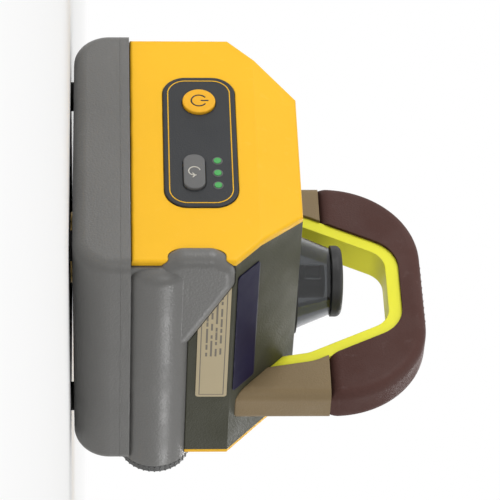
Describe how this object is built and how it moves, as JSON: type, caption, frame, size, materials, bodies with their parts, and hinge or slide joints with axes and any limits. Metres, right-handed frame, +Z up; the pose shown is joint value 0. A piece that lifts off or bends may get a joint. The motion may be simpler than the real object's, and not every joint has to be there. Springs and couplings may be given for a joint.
{
  "type": "rotary laser level",
  "caption": "Rotary laser level with a yellow front, grey base with side battery barrels, dark lantern and arched carrying handle",
  "frame": {"origin": "centre of the tripod thread's mouth, level with the floor under the feet", "axes": "+Z up, parallel to the rotor axis, -Y out of the yellow front, +X to the side with the white plate"},
  "size_m": [0.2016, 0.1931, 0.223],
  "materials": {
    "housing_grey": "fine moulded texture",
    "shell_dark": "fine moulded texture",
    "cover_yellow": "satin moulded",
    "handle_lemon": "satin moulded",
    "grip_rubber": "matt soft touch",
    "feet_grey": "fine moulded texture",
    "black_rubber": "matt",
    "insert_brass": "turned",
    "plate_white": "satin film",
    "band_navy": "satin film",
    "lantern_glass": "smoked, polished",
    "roof_black": "satin moulded",
    "seal_dark": "matt",
    "panel_charcoal": "satin film",
    "button_yellow": "matt",
    "button_grey": "matt",
    "lamp_lens": "polished",
    "board_green": "lacquered",
    "chip_black": "moulded",
    "cap_grey": "fine moulded texture",
    "cell_wrap": "plain film wrap",
    "steel": "machined",
    "alloy": "die cast",
    "core_alloy": "anodised",
    "lens_glass": "polished",
    "pulley_plastic": "moulded",
    "rotor_black": "satin moulded",
    "motor_can": "drawn can",
    "vial_glass": "polished"
  },
  "bodies": {
    "housing": {"base_screws": "steel", "battery_cells": "cell_wrap", "board_chips": "chip_black", "body_shell": "shell_dark", "cap_seals": "black_rubber", "cell_contacts": "steel", "control_panel": "panel_charcoal", "front_cover": "cover_yellow", "gimbal_post_pins": "steel", "guide_rods": "steel", "handle_feet": "feet_grey", "handle_frame": "handle_lemon", "handle_grip": "grip_rubber", "handle_screws": "steel", "jack_plug": "black_rubber", "jack_socket": "chip_black", "keypad_board": "board_green", "keypad_domes": "steel", "lantern_roof": "roof_black", "lantern_seal": "seal_dark", "lantern_window": "lantern_glass", "level_motors": "motor_can", "lower_housing": "housing_grey", "main_board": "board_green", "mechanism_plate": "alloy", "plate_screws": "steel", "rear_cover": "cover_yellow", "rubber_feet": "black_rubber", "side_band": "band_navy", "side_plate": "plate_white", "status_lamps": "lamp_lens", "tripod_insert": "insert_brass"},
    "gimbal": {"gimbal_ring": "alloy", "gimbal_core_pins": "steel"},
    "core": {"laser_core": "core_alloy", "laser_diode": "insert_brass", "collimating_lens": "lens_glass", "spindle_bearings": "steel", "drive_motor": "motor_can", "drive_belt": "black_rubber", "level_vials": "vial_glass"},
    "rotor": {"rotor_spindle": "steel", "rotor_pulley": "pulley_plastic", "rotor_head": "rotor_black", "beam_prism": "lens_glass"},
    "motor_pulley_body": {"motor_pulley": "pulley_plastic"},
    "yoke_x_body": {"yoke_x": "pulley_plastic"},
    "yoke_y_body": {"yoke_y": "pulley_plastic"},
    "level_screw_x_body": {"level_screw_x": "steel"},
    "level_screw_y_body": {"level_screw_y": "steel"},
    "power_button_body": {"power_button": "button_yellow"},
    "mode_button_body": {"mode_button": "button_grey"},
    "cap_right": {"battery_cap_right": "cap_grey"},
    "cap_left": {"battery_cap_left": "cap_grey"}
  },
  "joints": [
    {"name": "tilt_about_x", "type": "hinge", "parent": "housing", "child": "gimbal", "pos_m": [0, 0.032, 0.098], "axis": [1, 0, 0], "range_deg": [-5, 5]},
    {"name": "tilt_about_y", "type": "hinge", "parent": "gimbal", "child": "core", "pos_m": [0, 0.032, 0.098], "axis": [0, 1, 0], "range_deg": [-5, 5]},
    {"name": "rotor_spin", "type": "hinge", "parent": "core", "child": "rotor", "pos_m": [0, 0.032, 0.125], "axis": [0, 0, 1], "continuous": true},
    {"name": "motor_spin", "type": "hinge", "parent": "core", "child": "motor_pulley_body", "pos_m": [0, 0.0565, 0.127], "axis": [0, 0, 1], "continuous": true},
    {"name": "yoke_x_slide", "type": "slide", "parent": "housing", "child": "yoke_x_body", "axis": [1, 0, 0], "range_m": [-0.0045, 0.0045]},
    {"name": "yoke_y_slide", "type": "slide", "parent": "housing", "child": "yoke_y_body", "axis": [0, 1, 0], "range_m": [-0.0053, 0.0053]},
    {"name": "level_screw_x_turn", "type": "hinge", "parent": "housing", "child": "level_screw_x_body", "pos_m": [0, 0.014, 0.051], "axis": [1, 0, 0], "range_deg": [-810, 810]},
    {"name": "level_screw_y_turn", "type": "hinge", "parent": "housing", "child": "level_screw_y_body", "pos_m": [-0.018, 0.032, 0.042], "axis": [0, 1, 0], "range_deg": [-950, 950]},
    {"name": "power_press", "type": "slide", "parent": "housing", "child": "power_button_body", "axis": [0, 1, 0], "range_m": [0, 0.001], "stiffness_N_per_m": 1500},
    {"name": "mode_press", "type": "slide", "parent": "housing", "child": "mode_button_body", "axis": [0, 1, 0], "range_m": [0, 0.001], "stiffness_N_per_m": 1500},
    {"name": "cap_right_turn", "type": "hinge", "parent": "housing", "child": "cap_right", "pos_m": [0.078, 0.095, 0.052], "axis": [0, 1, 0], "range_deg": [0, 90]},
    {"name": "cap_left_turn", "type": "hinge", "parent": "housing", "child": "cap_left", "pos_m": [-0.078, 0.095, 0.052], "axis": [0, 1, 0], "range_deg": [0, 90]}
  ],
  "couplings": [
    {"joint": "motor_spin", "follows": "rotor_spin", "ratio": 2},
    {"joint": "yoke_x_slide", "follows": "tilt_about_y", "m_per_rad": -0.047},
    {"joint": "yoke_y_slide", "follows": "tilt_about_x", "m_per_rad": 0.056},
    {"joint": "level_screw_x_turn", "follows": "tilt_about_y", "ratio": -147.65},
    {"joint": "level_screw_y_turn", "follows": "tilt_about_x", "ratio": 175.93}
  ]
}
